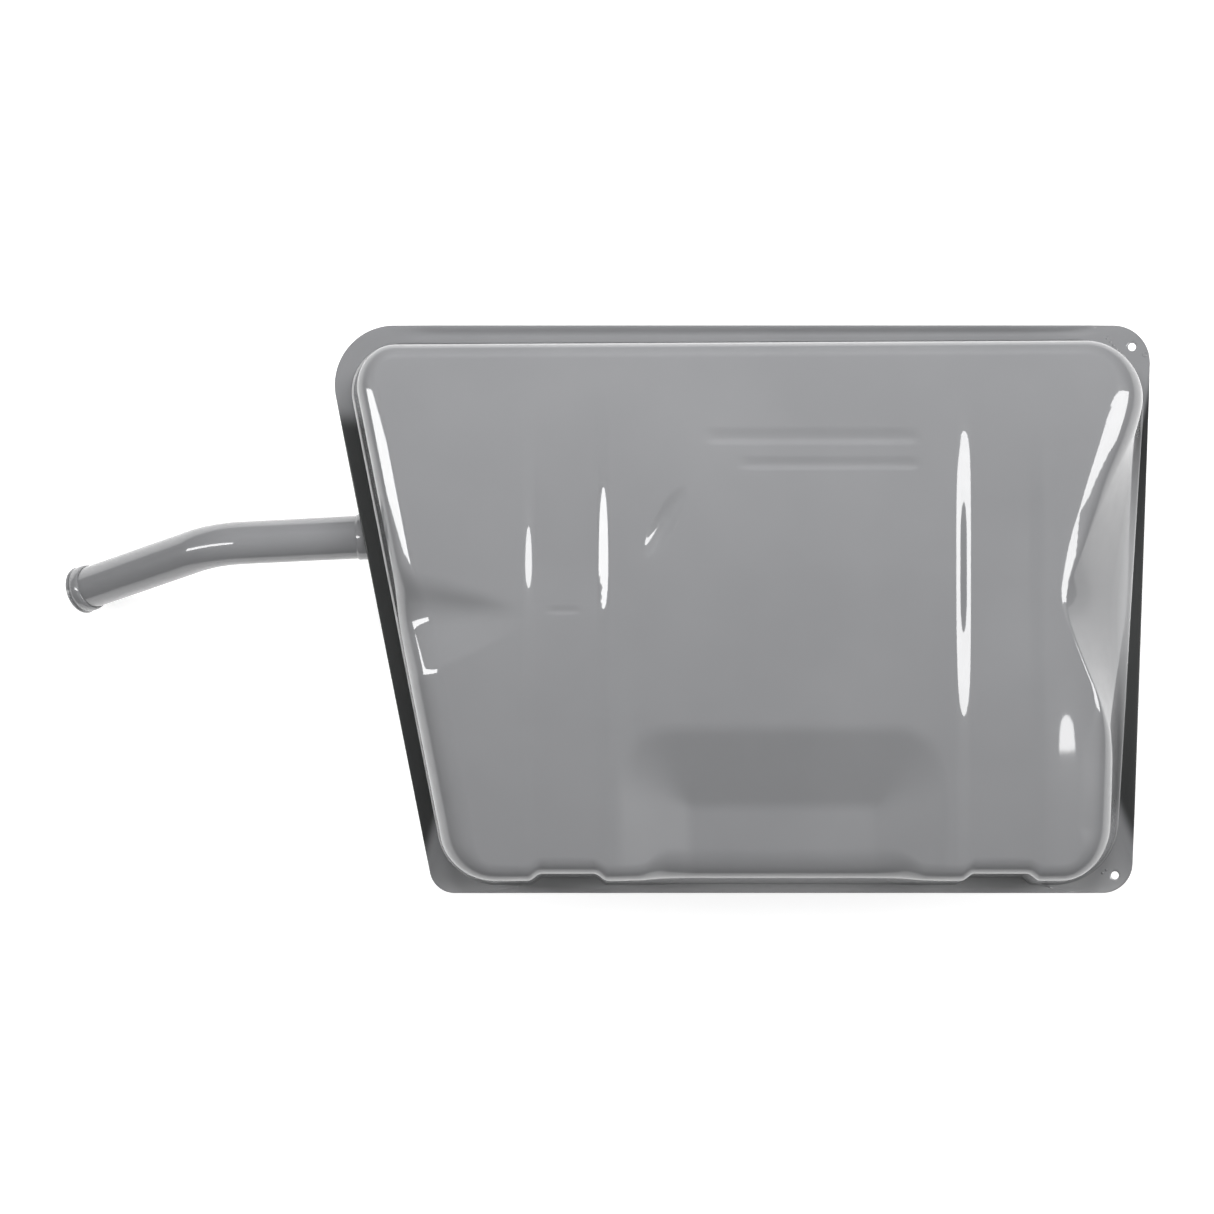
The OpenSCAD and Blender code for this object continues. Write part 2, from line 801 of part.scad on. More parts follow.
module float_clip() {
    clip_t = 0.8;
    clip_r = 4.5;
    color(zinc)
    along_arm(arm_y)
        translate([arm_l, float_side + float_l + slip, 0])
            rotate([-90, 0, 0]) flat_ring(wire_r + slip, clip_r, clip_t);
}

blade = [6.3, 0.8];         // width and thickness of a blade terminal
blade_out = 14;             // how far the signal blade stands outside the plate
blade_l = 26;

module signal_terminal() {
    color(brass)
    at_sender(plate_z - blade_out)
        translate([bush_at[0] - blade[0] / 2, bush_at[1] - blade[1] / 2, 0])
            cube([blade[0], blade[1], blade_l]);
}

module terminal_bush() {
    head = [bush_r + 1.5, 3];   // radius and height of the head outside the plate
    bush_l = 8;
    color(plastic)
    at_sender(0)
        translate([bush_at[0], bush_at[1], plate_z - head[1]])
            difference() {
                union() {
                    cylinder(h = head[1], r = head[0], $fn = smooth);
                    cylinder(h = bush_l, r = bush_r, $fn = smooth);
                }
                translate([-blade[0] / 2 - slip, -blade[1] / 2 - slip, -over])
                    cube([blade[0] + 2 * slip, blade[1] + 2 * slip, bush_l + 2 * over]);
            }
}

module earth_terminal() {
    corner = [-7.15, 18];       // nearest corner of its foot, from the sender's axis
    foot = [8, 1];              // length and thickness of its foot on the plate
    reach = 12;
    color(zinc)
    at_sender(plate_z)
        translate([corner[0], corner[1], 0]) {
            translate([0, 0, -foot[1]]) cube([blade[0], foot[0], foot[1]]);
            translate([0, 0, -reach]) cube([blade[0], blade[1], reach]);
        }
}

lower_shell();
upper_shell();
baffle_left();
baffle_right();
baffle_long();
swirl_pot();
filler_socket();
filler_pipe();
filler_mouth();
sender_seat();
sender_seal();
sender_plate();
lock_ring();
sender_stem();
gauge_housing();
gauge_resistor();
gauge_cover();
pivot_pin();
wiper();
float_arm();
float();
float_clip();
feed_tube();
strainer();
return_tube();
vent_tube();
signal_terminal();
terminal_bush();
earth_terminal();
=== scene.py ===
"""Looks of the pressed-steel fuel tank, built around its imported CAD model.

The two drawn half shells and the filler are meshes made here from the pressing's own sizes;
the gauge sender, tubes and baffles keep their CAD meshes. Lengths are millimetres until a
mesh is written, in the CAD's frame: the tank lies underside up on the plane z = 0.
"""

import json
import math

import bpy
import bmesh
import numpy as np
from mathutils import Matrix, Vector
from mathutils.geometry import delaunay_2d_cdt

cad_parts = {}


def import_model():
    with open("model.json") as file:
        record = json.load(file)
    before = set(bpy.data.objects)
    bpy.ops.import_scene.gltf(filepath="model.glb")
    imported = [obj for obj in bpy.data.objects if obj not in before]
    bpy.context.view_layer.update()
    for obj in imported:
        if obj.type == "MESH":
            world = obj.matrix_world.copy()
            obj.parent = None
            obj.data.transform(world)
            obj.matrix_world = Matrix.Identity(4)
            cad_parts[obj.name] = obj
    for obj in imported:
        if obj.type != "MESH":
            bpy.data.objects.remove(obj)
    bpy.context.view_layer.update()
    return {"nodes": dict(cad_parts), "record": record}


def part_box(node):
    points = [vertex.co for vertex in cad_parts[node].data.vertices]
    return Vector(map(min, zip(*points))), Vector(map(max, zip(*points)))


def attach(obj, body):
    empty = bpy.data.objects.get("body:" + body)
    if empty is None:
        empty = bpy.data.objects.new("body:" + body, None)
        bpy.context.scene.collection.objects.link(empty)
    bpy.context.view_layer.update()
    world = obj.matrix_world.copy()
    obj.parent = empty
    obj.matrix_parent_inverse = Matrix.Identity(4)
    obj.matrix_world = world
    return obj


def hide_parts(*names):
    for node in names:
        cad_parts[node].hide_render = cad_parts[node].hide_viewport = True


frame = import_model()

MM = 0.001
SHEET = 1.2
SEAM_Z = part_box("upper_shell")[1].z / MM
TANK_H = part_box("lower_shell")[1].z / MM
LOWER_DEPTH = TANK_H - SEAM_Z

# Outlines at the seam, clockwise from the upper left corner, and their corner radii.
FLANGE_CORNERS = [(-283.5, 290.5), (565.5, 290.5), (545.5, -290.5), (-168.5, -290.5)]
FLANGE_RADII = [61, 37.5, 31, 25.6]
BODY_CORNERS = [(-262, 270.5), (561, 275), (527.5, -281), (-153.5, -281)]
BODY_RADII = [48, 68, 66, 61]
SIDE_STEPS = [330, 150, 300, 170]       # samples on the upper, right, lower and left sides
CORNER_STEPS = 46

LOWER_DRAFT = [4, 20, 7, 8]             # degrees, in the same order of sides
LOWER_FILLET = [16, 29, 18, 24]
UPPER_DRAFT = [5, 6, 5, 4]
UPPER_FILLET = [26, 34, 30, 26]

POCKET_FILLET = 14                      # how much rounder the lower wall's fillet is there

CHANNEL_X = [-31, 404]
BOLT_HOLES = [(546, 268.5), (528.5, -272.5)]
BOLT_HOLE_R = 4.25


# --- small helpers ---------------------------------------------------------------------
def smooth(t):
    """0 below t = 0, 1 above t = 1, and an S curve between."""
    t = np.clip(t, 0, 1)
    return t * t * (3 - 2 * t)


def table(x, rows):
    """Linear interpolation in rows of (x, value), softened by averaging a small window."""
    rows = sorted(rows)
    xs = [r[0] for r in rows]
    ys = [r[1] for r in rows]
    window = [-18, -9, 0, 9, 18]
    return sum(np.interp(x + w, xs, ys) for w in window) / len(window)


# --- outlines --------------------------------------------------------------------------
def turned(arm, a):
    """A flat arm turned by the angle a."""
    return np.array([arm[0] * math.cos(a) - arm[1] * math.sin(a),
                     arm[0] * math.sin(a) + arm[1] * math.cos(a)])


def outline(corners, radii):
    """Points round a quadrilateral with rounded corners, their inward normals, and how much
    each point belongs to each of the four sides."""
    c = np.array(corners, float)
    points, normals, weights = [], [], []
    arcs = []
    for i in range(4):
        to_prev = c[i - 1] - c[i]
        to_next = c[(i + 1) % 4] - c[i]
        to_prev /= np.linalg.norm(to_prev)
        to_next /= np.linalg.norm(to_next)
        half = math.acos(np.dot(to_prev, to_next)) / 2
        axis = to_prev + to_next
        centre = c[i] + axis / np.linalg.norm(axis) * radii[i] / math.sin(half)
        first = c[i] + to_prev * radii[i] / math.tan(half)
        turn = math.pi - 2 * half
        arcs.append((centre, first - centre, turn))
    for i in range(4):
        centre, arm, turn = arcs[i]
        for k in range(CORNER_STEPS):
            spoke = turned(arm, -turn * k / CORNER_STEPS)
            w = np.zeros(4)
            share = float(smooth(k / CORNER_STEPS))
            w[i - 1] += 1 - share
            w[i] += share
            points.append(centre + spoke)
            normals.append(-spoke / np.linalg.norm(spoke))
            weights.append(w)
        spoke = turned(arm, -turn)
        start = centre + spoke
        following = arcs[(i + 1) % 4]
        end = following[0] + following[1]
        for k in range(SIDE_STEPS[i]):
            w = np.zeros(4)
            w[i] = 1
            points.append(start + (end - start) * k / SIDE_STEPS[i])
            normals.append(-spoke / np.linalg.norm(spoke))
            weights.append(w)
    return np.array(points), np.array(normals), np.array(weights)


FLANGE, _, _ = outline(FLANGE_CORNERS, FLANGE_RADII)
BODY, BODY_IN, SIDE = outline(BODY_CORNERS, BODY_RADII)
AROUND = len(BODY)


def cornerness():
    """1 at the middle of each corner of the outline, falling to 0 along its sides."""
    near = np.zeros(AROUND)
    index = np.arange(AROUND)
    start = 0
    for i in range(4):
        middle = start + CORNER_STEPS / 2
        gap = np.abs((index - middle + AROUND / 2) % AROUND - AROUND / 2)
        near = np.maximum(near, 1 - smooth((gap - CORNER_STEPS * 0.42) / (CORNER_STEPS * 0.5)))
        start += CORNER_STEPS + SIDE_STEPS[i]
    return near


CORNER = cornerness()
# The flange is also flat where the pocket runs out over the lower wall.
POCKET_RUN = SIDE[:, 2] * smooth((BODY[:, 0] - 40) / 30) * smooth((330 - BODY[:, 0]) / 30)
FLAT = np.maximum(CORNER, POCKET_RUN * 0.8)


# --- the underside's pressings ---------------------------------------------------------
NOTCH = 7                   # how far a strap channel steps into the lower wall
POCKET = dict(x0=14.5, x1=351.5, y=-112, floor_x0=98, floor_x1=276, floor_y=-205, depth=26)
VALLEY_TIP = (-68.5, -8)
BEND_Y = 38                 # the panel's faint cross crease
BEND_SLOPE = 0.018          # how steeply the panel falls below it
SHOULDER_DROP = 4.5

# Long stiffening beads: centre x, y, length, width, angle in degrees, depth.
BEADS = [
    (214, 173.5, 226, 20, 0, 1.7),
    (231, 146.5, 190, 16, 0, 1.45),
    (-35, -0.5, 40, 11, 0, 1.0),
]
# The oblique boat-shaped dimple, in the same order.
DIMPLE = (66, 87, 86, 24, 61, 4.2)


def channels(x, y):
    """Depth of the two strap channels, whose edges fade towards both ends."""
    left = table(y, [(300, 0), (215, 0.2), (125, 2.1), (60, 4.4), (25, 4.4), (0, 1.7),
                     (-60, 1.1), (-110, 0.8), (-300, 0.8)])
    from_left = x - CHANNEL_X[0]
    first = left * smooth((from_left + 47) / 16) * smooth((43 - from_left) / 14)
    right = table(y, [(300, 0), (200, 0.2), (160, 3.0), (90, 9.0), (0, 9.2), (-50, 5.5),
                      (-86, 2.6), (-120, 1.1), (-300, 0.9)])
    from_right = x - CHANNEL_X[1]
    far_side = 1 - 0.35 * smooth((from_right - 26) / 18) - 0.65 * smooth((from_right - 46) / 60)
    second = right * smooth((from_right + 47) / 17) * far_side
    return first + second


def pocket(x, y):
    """Depth of the large pocket, whose three sloping sides meet in soft creases."""
    p = POCKET
    top = (p["y"] - y) / (p["y"] - p["floor_y"])
    left = (x - p["x0"]) / (p["floor_x0"] - p["x0"])
    right = (p["x1"] - x) / (p["x1"] - p["floor_x1"])
    miss = [np.clip(1 - v, 0, 1.6) for v in (top, left, right)]
    power = 3.2
    far = (miss[0] ** power + miss[1] ** power + miss[2] ** power) ** (1 / power)
    t = np.clip(1 - far, 0, 1)
    eased = np.where(t < 0.16, t * t / 0.32, t - 0.08)
    eased = np.where(t > 0.86, 0.78 + (1 - np.clip((1 - t) / 0.14, 0, 1) ** 2) * 0.07, eased)
    return p["depth"] * eased / 0.85


def soft_ramp(t, ease):
    """0 to 1 as t goes from 0 to 1, straight but for a rounded start and end."""
    t = np.clip(t, 0, 1)
    eased = np.where(t < ease, t * t / (2 * ease), t - ease / 2)
    end = 1 - t
    eased = np.where(end < ease, 1 - ease - end * end / (2 * ease), eased)
    return eased / (1 - ease)


def valley(x, y):
    """Depth of the fan-shaped valley that opens from its tip towards the left wall."""
    along = np.clip((VALLEY_TIP[0] - x) / 100.0, 0, 2)
    high = 14 + 31 * along
    low = 8 + 52 * along
    depth = 0.23 * high * smooth(along / 0.7)
    off = y - VALLEY_TIP[1]
    up = soft_ramp(1 - off / high, 0.45)
    down = soft_ramp(1 + off / low, 0.16)
    return depth * np.where(off > 0, up, down)


def beads(x, y):
    """Depth of the stiffening beads, steeper on their lower side, and of the dimple."""
    total = np.zeros_like(x)
    for cx, cy, length, width, angle, depth in BEADS:
        a = math.radians(angle)
        u = (x - cx) * math.cos(a) + (y - cy) * math.sin(a)
        v = -(x - cx) * math.sin(a) + (y - cy) * math.cos(a)
        ends = smooth((length / 2 - np.abs(u)) / width)
        high = smooth((width / 2 - v) / (0.62 * width))
        low = smooth((width / 2 + v) / (0.38 * width))
        total = total + depth * ends * high * low
    cx, cy, length, width, angle, depth = DIMPLE
    a = math.radians(angle)
    u = (x - cx) * math.cos(a) + (y - cy) * math.sin(a)
    v = -(x - cx) * math.sin(a) + (y - cy) * math.cos(a)
    near = np.clip(1 - (u / (length / 2)) ** 2 - (v / (width / 2)) ** 2, 0, 1)
    return total + depth * near ** 1.5


def sag(x, y):
    """The panel bends down a little below its faint cross crease."""
    between = smooth((x - 10) / 30) * smooth((360 - x) / 30)
    fall = np.maximum(BEND_Y - y, 0)
    return between * BEND_SLOPE * fall * smooth((y + 270) / 200)


def shoulder(x, y):
    """The right-hand shoulder drops a little towards its lower end."""
    return SHOULDER_DROP * smooth((2 - y) / 120) * smooth((x - 444) / 50)


def depression(x, y):
    """How far the underside is pressed in at a point, in millimetres."""
    return (channels(x, y) + pocket(x, y) + valley(x, y) + beads(x, y) + sag(x, y)
            + shoulder(x, y))


def right_wall(y):
    """The right wall's draft in degrees and its fillet radius, which change along it."""
    draft = table(y, [(260, 6), (205, 8), (190, 11), (132, 28.5), (71, 38.8), (23, 43),
                      (0, 44), (-50, 35), (-92, 24), (-135, 17), (-200, 15), (-300, 14)])
    fillet = table(y, [(260, 34), (190, 42), (132, 38), (71, 38), (40, 26), (10, 12),
                       (-20, 4), (-95, 5), (-135, 36), (-300, 42)])
    return draft, fillet


def left_wall(y):
    """The same for the left wall, which is rounder from the valley's middle down."""
    return table(y, [(300, 8), (20, 8), (-10, 4), (-300, 4)]), table(
        y, [(300, 24), (30, 24), (-5, 36), (-300, 36)])


# --- the flange ------------------------------------------------------------------------
FLANGE_RINGS = 15
ROOT_RINGS = 4
ROOT_R = 2.2                # the concave radius where a wall meets the flange
GUTTER = 2.3                # how deep the seam gutter is between the wall and the lip
LIP_RISE = 1.6              # how far the outer lip stands above the seam
SHORT_SIDE_RISE = 2.6       # the same on the two short sides, which have no gutter


def flange_rise(t):
    """Height of the flange at t, from 0 at its edge to 1 at the body's root, on a side."""
    valley_at = 0.47
    outer = (LIP_RISE + GUTTER) * (1 - smooth(t / valley_at * 0.92 + 0.04)) - GUTTER
    inner = -GUTTER * (1 - smooth((t - valley_at) / (1 - valley_at)))
    return np.where(t < valley_at, outer, inner)


def flange_rings(body, offset):
    """Rings from the flange's edge to the root of the wall."""
    rings = []
    for k in range(FLANGE_RINGS):
        t = k / (FLANGE_RINGS - 1)
        xy = FLANGE + (body - FLANGE) * t
        long_side = flange_rise(t) * (1 - 0.6 * SIDE[:, 2])
        short_side = SHORT_SIDE_RISE * (1 - smooth(t))
        short = SIDE[:, 1] + SIDE[:, 3]
        rise = (long_side * (1 - short) + short_side * short) * (1 - FLAT)
        rings.append((xy, SEAM_Z + offset + rise))
    return rings


def wall_rings(depth, draft, fillet, wall_steps, arc_steps):
    """Rings up a drawn wall: a small concave root, the straight wall and the round fillet.
    Each is an inset from the body's outline and a height above the seam."""
    a = np.radians(draft)
    rings = []
    foot = ROOT_R * (1 - np.sin(a))
    for k in range(1, ROOT_RINGS + 1):
        turn = (math.pi / 2 - a) * k / ROOT_RINGS
        inset = ROOT_R * np.sin(turn) - ROOT_R * np.cos(a) + foot * np.tan(a)
        rings.append((inset, ROOT_R * (1 - np.cos(turn))))
    tangent = depth - fillet * (1 - np.sin(a))
    foot = rings[-1][1]
    for k in range(1, wall_steps + 1):
        h = foot + (tangent - foot) * k / wall_steps
        rings.append((h * np.tan(a), h))
    middle = tangent * np.tan(a) + fillet * np.cos(a)
    for k in range(1, arc_steps + 1):
        tilt = a + (math.pi / 2 - a) * k / arc_steps
        inset = middle - fillet * np.cos(tilt)
        rings.append((inset, depth - fillet * (1 - np.sin(tilt))))
    return rings


# --- meshes ----------------------------------------------------------------------------
GRID = 3.6                  # the panel grid's coarse spacing
GRID_GAP = 3.2              # how far the grid keeps from the panel's edge
SLIVER = 0.001              # twice the area, in square millimetres, of a face to leave out


def new_mesh(name, points, faces):
    """A smooth-shaded painted piece that rides the tank."""
    mesh = bpy.data.meshes.new(name)
    mesh.from_pydata([tuple(p) for p in (np.asarray(points) * MM).tolist()], [], faces)
    mesh.validate()
    piece = bpy.data.objects.new(name, mesh)
    bpy.context.scene.collection.objects.link(piece)
    mesh.shade_smooth()
    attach(piece, "tank")
    return piece


def band(first, second, count, flip=False):
    """Quads between two closed rings of count points that start at these indices."""
    quads = []
    for k in range(count):
        n = (k + 1) % count
        quad = (first + k, first + n, second + n, second + k)
        quads.append(quad[::-1] if flip else quad)
    return quads


def inside_polygon(x, y, polygon):
    """Even-odd test of many points against one polygon."""
    inside = np.zeros(x.shape, bool)
    ax, ay = polygon[:, 0], polygon[:, 1]
    bx, by = np.roll(ax, -1), np.roll(ay, -1)
    for k in range(len(polygon)):
        if ay[k] == by[k]:
            continue
        crosses = (ay[k] > y) != (by[k] > y)
        at = (bx[k] - ax[k]) * (y - ay[k]) / (by[k] - ay[k]) + ax[k]
        inside ^= crosses & (x < at)
    return inside


def near_polygon(x, y, polygon, reach):
    """True where a point is closer than reach to any corner of the polygon."""
    near = np.zeros(x.shape, bool)
    for px, py in polygon[::2]:
        near |= (x - px) ** 2 + (y - py) ** 2 < reach * reach
    return near


def lines(low, high, coarse, fine_spans):
    """Grid lines from low to high, coarse apart, and closer inside the fine spans."""
    at = [low]
    while at[-1] < high:
        step = coarse
        for a, b, fine in fine_spans:
            if a <= at[-1] < b:
                step = min(step, fine)
        at.append(at[-1] + step)
    return np.array(at)


def fill_panel(edge, edge_start, points, z_at, xs, ys):
    """Fills a flat panel inside the closed ring edge with grid cells, and joins the grid to
    the ring with triangles. Adds to points and returns the new faces, facing up."""
    gx, gy = np.meshgrid(xs, ys)
    keep = inside_polygon(gx, gy, edge) & ~near_polygon(gx, gy, edge, GRID_GAP)
    cell = keep[:-1, :-1] & keep[1:, :-1] & keep[:-1, 1:] & keep[1:, 1:]
    used = np.zeros(keep.shape, bool)
    for dy in (0, 1):
        for dx in (0, 1):
            used[dy:dy + cell.shape[0], dx:dx + cell.shape[1]] |= cell
    number = np.full(keep.shape, -1)
    number[used] = len(points) + np.arange(used.sum())
    xy = np.column_stack([gx[used], gy[used]])
    points.extend(np.column_stack([xy, z_at(xy[:, 0], xy[:, 1])]).tolist())
    faces = []
    for j, i in zip(*np.nonzero(cell)):
        faces.append((int(number[j, i]), int(number[j, i + 1]),
                      int(number[j + 1, i + 1]), int(number[j + 1, i])))
    full = np.zeros((keep.shape[0] + 1, keep.shape[1] + 1), bool)
    full[1:-1, 1:-1] = cell
    around = full[:-1, :-1] & full[1:, :-1] & full[:-1, 1:] & full[1:, 1:]
    rim = used & ~around
    rim_id = {int(number[j, i]): n for n, (j, i) in enumerate(zip(*np.nonzero(rim)))}
    verts = [tuple(map(float, (gx[j, i], gy[j, i]))) for j, i in zip(*np.nonzero(rim))]
    ids = list(rim_id)
    offset = len(verts)
    verts += [tuple(map(float, p)) for p in edge]
    ids += [edge_start + k for k in range(len(edge))]
    sides = []
    for j, i in zip(*np.nonzero(cell)):
        here = (j + 1, i + 1)
        corners = [(j, i), (j, i + 1), (j + 1, i + 1), (j + 1, i)]
        for n, (dj, di) in enumerate([(-1, 0), (0, 1), (1, 0), (0, -1)]):
            if not full[here[0] + dj, here[1] + di]:
                a = rim_id[int(number[corners[n]])]
                b = rim_id[int(number[corners[(n + 1) % 4]])]
                sides.append((a, b))
    sides += [(offset + k, offset + (k + 1) % len(edge)) for k in range(len(edge))]
    out, _, tris, origin, _, _ = delaunay_2d_cdt(verts, sides, [], 0, 1e-6)
    back = [o[0] if o else None for o in origin]
    centres = np.array([[sum(out[v][0] for v in t) / 3, sum(out[v][1] for v in t) / 3]
                        for t in tris])
    ok = inside_polygon(centres[:, 0], centres[:, 1], edge)
    col = np.clip(np.searchsorted(xs, centres[:, 0]) - 1, 0, cell.shape[1] - 1)
    row = np.clip(np.searchsorted(ys, centres[:, 1]) - 1, 0, cell.shape[0] - 1)
    ok &= ~cell[row, col]
    for good, t in zip(ok, tris):
        if good and all(back[v] is not None for v in t):
            p = [out[v] for v in t]
            turn = ((p[1][0] - p[0][0]) * (p[2][1] - p[0][1])
                    - (p[1][1] - p[0][1]) * (p[2][0] - p[0][0]))
            tri = tuple(ids[back[v]] for v in t)
            # Flat slivers between edge points in line are surplus: the edge is whole without.
            if abs(turn) > SLIVER:
                faces.append(tri if turn > 0 else tri[::-1])
    return faces


def open_hole(piece, centre, radius, only=None):
    """Cuts a round hole into a sheet: takes out the faces inside it and pulls the edge of
    what is left onto the circle."""
    bm = bmesh.new()
    bm.from_mesh(piece.data)
    cx, cy, r = centre[0] * MM, centre[1] * MM, radius * MM
    gone = []
    for f in bm.faces:
        c = f.calc_center_median()
        if (c.x - cx) ** 2 + (c.y - cy) ** 2 < r * r and (only is None or only(c)):
            gone.append(f)
    touched = {v for f in gone for v in f.verts}
    bmesh.ops.delete(bm, geom=gone, context="FACES")
    for v in touched:
        if v.is_valid and v.is_boundary:
            d = math.hypot(v.co.x - cx, v.co.y - cy)
            v.co.x = cx + (v.co.x - cx) / d * r
            v.co.y = cy + (v.co.y - cy) / d * r
    bm.to_mesh(piece.data)
    bm.free()


def thicken(piece):
    """Gives a one-sided sheet its thickness, on its back, and closes its edges."""
    mod = piece.modifiers.new("sheet", "SOLIDIFY")
    mod.thickness = SHEET * MM
    mod.offset = -1
    mod.use_even_offset = False
    bpy.context.view_layer.update()
    graph = bpy.context.evaluated_depsgraph_get()
    done = bpy.data.meshes.new_from_object(piece.evaluated_get(graph))
    piece.modifiers.remove(mod)
    old = piece.data
    piece.data = done
    bpy.data.meshes.remove(old)
    piece.data.shade_smooth()


# --- the underside half ----------------------------------------------------------------
PAINTED_LIGHT_H = 24                 # how high the painted light at the wall's foot reaches


def painted_shade_and_light(k, height):
    """For ring k, whose points are this high over the flange: the share of painted shade, a
    near-black dull tone, on the flange's short sides and in the root of the upper wall, and the
    share of painted light, a much paler tone, at the foot of the other walls and on the
    flange's lower side."""
    low = 1 - smooth(height / PAINTED_LIGHT_H)
    if k < FLANGE_RINGS:
        # Painted shade on the flange's short sides; painted light on its lower side.
        sides = (SIDE[:, 1] + SIDE[:, 3]) * (1 - CORNER * 0.9)
        return smooth(sides * 1.8 - 0.4), 0.28 * SIDE[:, 2]
    # Painted shade dims the line at the upper wall's root; painted light brightens the foot of
    # the other walls.
    root_shade = 0.35 * SIDE[:, 0] * float(k < FLANGE_RINGS + ROOT_RINGS)
    return root_shade, low * (0.3 * SIDE[:, 1] + 0.12 * SIDE[:, 2] + SIDE[:, 3])


def panel_height(x, y):
    return TANK_H - depression(x, y)


def panel_grid():
    """The panel's grid lines, closer together across the channels, beads and creases."""
    near_edges = [(c + s * 37 - 12, c + s * 37 + 12, 1.3) for c in CHANNEL_X for s in (-1, 1)]
    creases = [(10, 110, 2.6), (262, 356, 2.6), (40, 92, 1.6)]
    xs = lines(-270, 570, GRID, near_edges + creases)
    ys = lines(-290, 290, GRID, [(160, 188, 1.2), (134, 158, 1.2), (-10, 10, 1.2),
                                 (30, 46, 1.4), (-75, 30, 2.0), (44, 130, 2.0),
                                 (-225, -105, 2.8)])
    return xs, ys


def underside():
    notch = np.zeros(AROUND)
    for cx in CHANNEL_X:
        notch += smooth((40 - np.abs(BODY[:, 0] - cx)) / 14) * NOTCH
    body = BODY + BODY_IN * (notch * SIDE[:, 2])[:, None]
    draft = SIDE @ np.array(LOWER_DRAFT, float) + 2 * POCKET_RUN
    fillet = SIDE @ np.array(LOWER_FILLET, float) + POCKET_FILLET * POCKET_RUN
    for side, wall in ((1, right_wall), (3, left_wall)):
        own_draft, own_fillet = wall(BODY[:, 1])
        draft += SIDE[:, side] * (own_draft - LOWER_DRAFT[side])
        fillet += SIDE[:, side] * (own_fillet - LOWER_FILLET[side])
    rings = flange_rings(body, SHEET)
    base = SEAM_Z + SHEET
    depth = TANK_H - base
    for inset, h in wall_rings(depth, draft, fillet, 9, 16):
        xy = body + BODY_IN * inset[:, None]
        z = base + h
        z = SEAM_Z + (z - SEAM_Z) * (1 - depression(xy[:, 0], xy[:, 1]) / LOWER_DEPTH)
        rings.append((xy, z))
    points, faces, painted_shade, foot = [], [], [], []
    for k, (xy, z) in enumerate(rings):
        points.extend(np.column_stack([xy, z]).tolist())
        # The shares of painted shade and painted light for this ring.
        dull, painted_light = painted_shade_and_light(k, z - base)
        painted_shade.extend(dull.tolist())
        foot.extend(painted_light.tolist())
        if k:
            faces += band((k - 1) * AROUND, k * AROUND, AROUND, flip=True)
    inward = rings[-1][0]
    for inset in (1.0, 2.2, 3.8):
        xy = inward + BODY_IN * inset
        rings.append((xy, panel_height(xy[:, 0], xy[:, 1])))
        points.extend(np.column_stack([xy, rings[-1][1]]).tolist())
        faces += band((len(rings) - 2) * AROUND, (len(rings) - 1) * AROUND, AROUND, flip=True)
    edge = rings[-1][0]
    xs, ys = panel_grid()
    faces += fill_panel(edge, (len(rings) - 1) * AROUND, points, panel_height, xs, ys)
    piece = new_mesh("underside_skin", points, faces)
    # Stores the painted shade and painted light shares on the points, for the enamel.
    for label, given in (("painted_shade_share", painted_shade), ("painted_light_share", foot)):
        values = np.zeros(len(points), np.float32)
        values[:len(given)] = given
        layer = piece.data.attributes.new(label, "FLOAT", "POINT")
        layer.data.foreach_set("value", values)
    for hole in BOLT_HOLES:
        open_hole(piece, hole, BOLT_HOLE_R)
    thicken(piece)
    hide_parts("lower_shell")
    return piece


# --- small marks on the flange ---------------------------------------------------------
DOT_R = 1.5
DOT_H = 0.7
DOT_ROWS = [((520.5, 277.5), (540, 255.5), 7), ((515.5, -270), (519.5, -267), 2)]
RING_AT = (559, 261)
RING_R = 2.2
RING_WIRE = 0.5


def weld_dots():
    """Rows of small weld domes beside the bolt holes."""
    points, faces = [], []
    steps = 16
    base = SEAM_Z + SHEET - 0.1
    around = np.linspace(0, 2 * math.pi, steps, endpoint=False)
    for first, last, count in DOT_ROWS:
        for k in range(count):
            at = np.array(first) + (np.array(last) - first) * k / (count - 1)
            start = len(points)
            for tilt in (0, 25, 50, 72):
                r = DOT_R * math.cos(math.radians(tilt))
                h = DOT_H * math.sin(math.radians(tilt))
                for a in around:
                    points.append((at[0] + r * math.cos(a), at[1] + r * math.sin(a), base + h))
            for n in range(3):
                faces += band(start + n * steps, start + (n + 1) * steps, steps)
            faces.append(tuple(start + 3 * steps + n for n in range(steps)))
            faces.append(tuple(start + n for n in reversed(range(steps))))
    return new_mesh("weld_dots", points, faces)


def weld_ring():
    """A small raised ring beside the upper bolt hole."""
    points, faces = [], []
    around, tube = 32, 10
    for k in range(around):
        a = 2 * math.pi * k / around
        for n in range(tube):
            b = 2 * math.pi * n / tube
            r = RING_R + RING_WIRE * math.cos(b)
            points.append((RING_AT[0] + r * math.cos(a), RING_AT[1] + r * math.sin(a),
                           SEAM_Z + SHEET + RING_WIRE * math.sin(b)))
    for k in range(around):
        for n in range(tube):
            m = (n + 1) % tube
            j = (k + 1) % around
            faces.append((k * tube + n, j * tube + n, j * tube + m, k * tube + m))
    return new_mesh("weld_ring", points, faces)


# --- the vehicle-top half --------------------------------------------------------------
WELL_R = 62
WELL_ENDS = [(50, 50), (150, 50)]
WELL_DEPTH = 30
WELL_ROUND = 4              # the radius of the well's rim and of its foot
WELL_TAPER = 0.5            # how much narrower the well is at its floor
SENDER_HOLE_R = 35


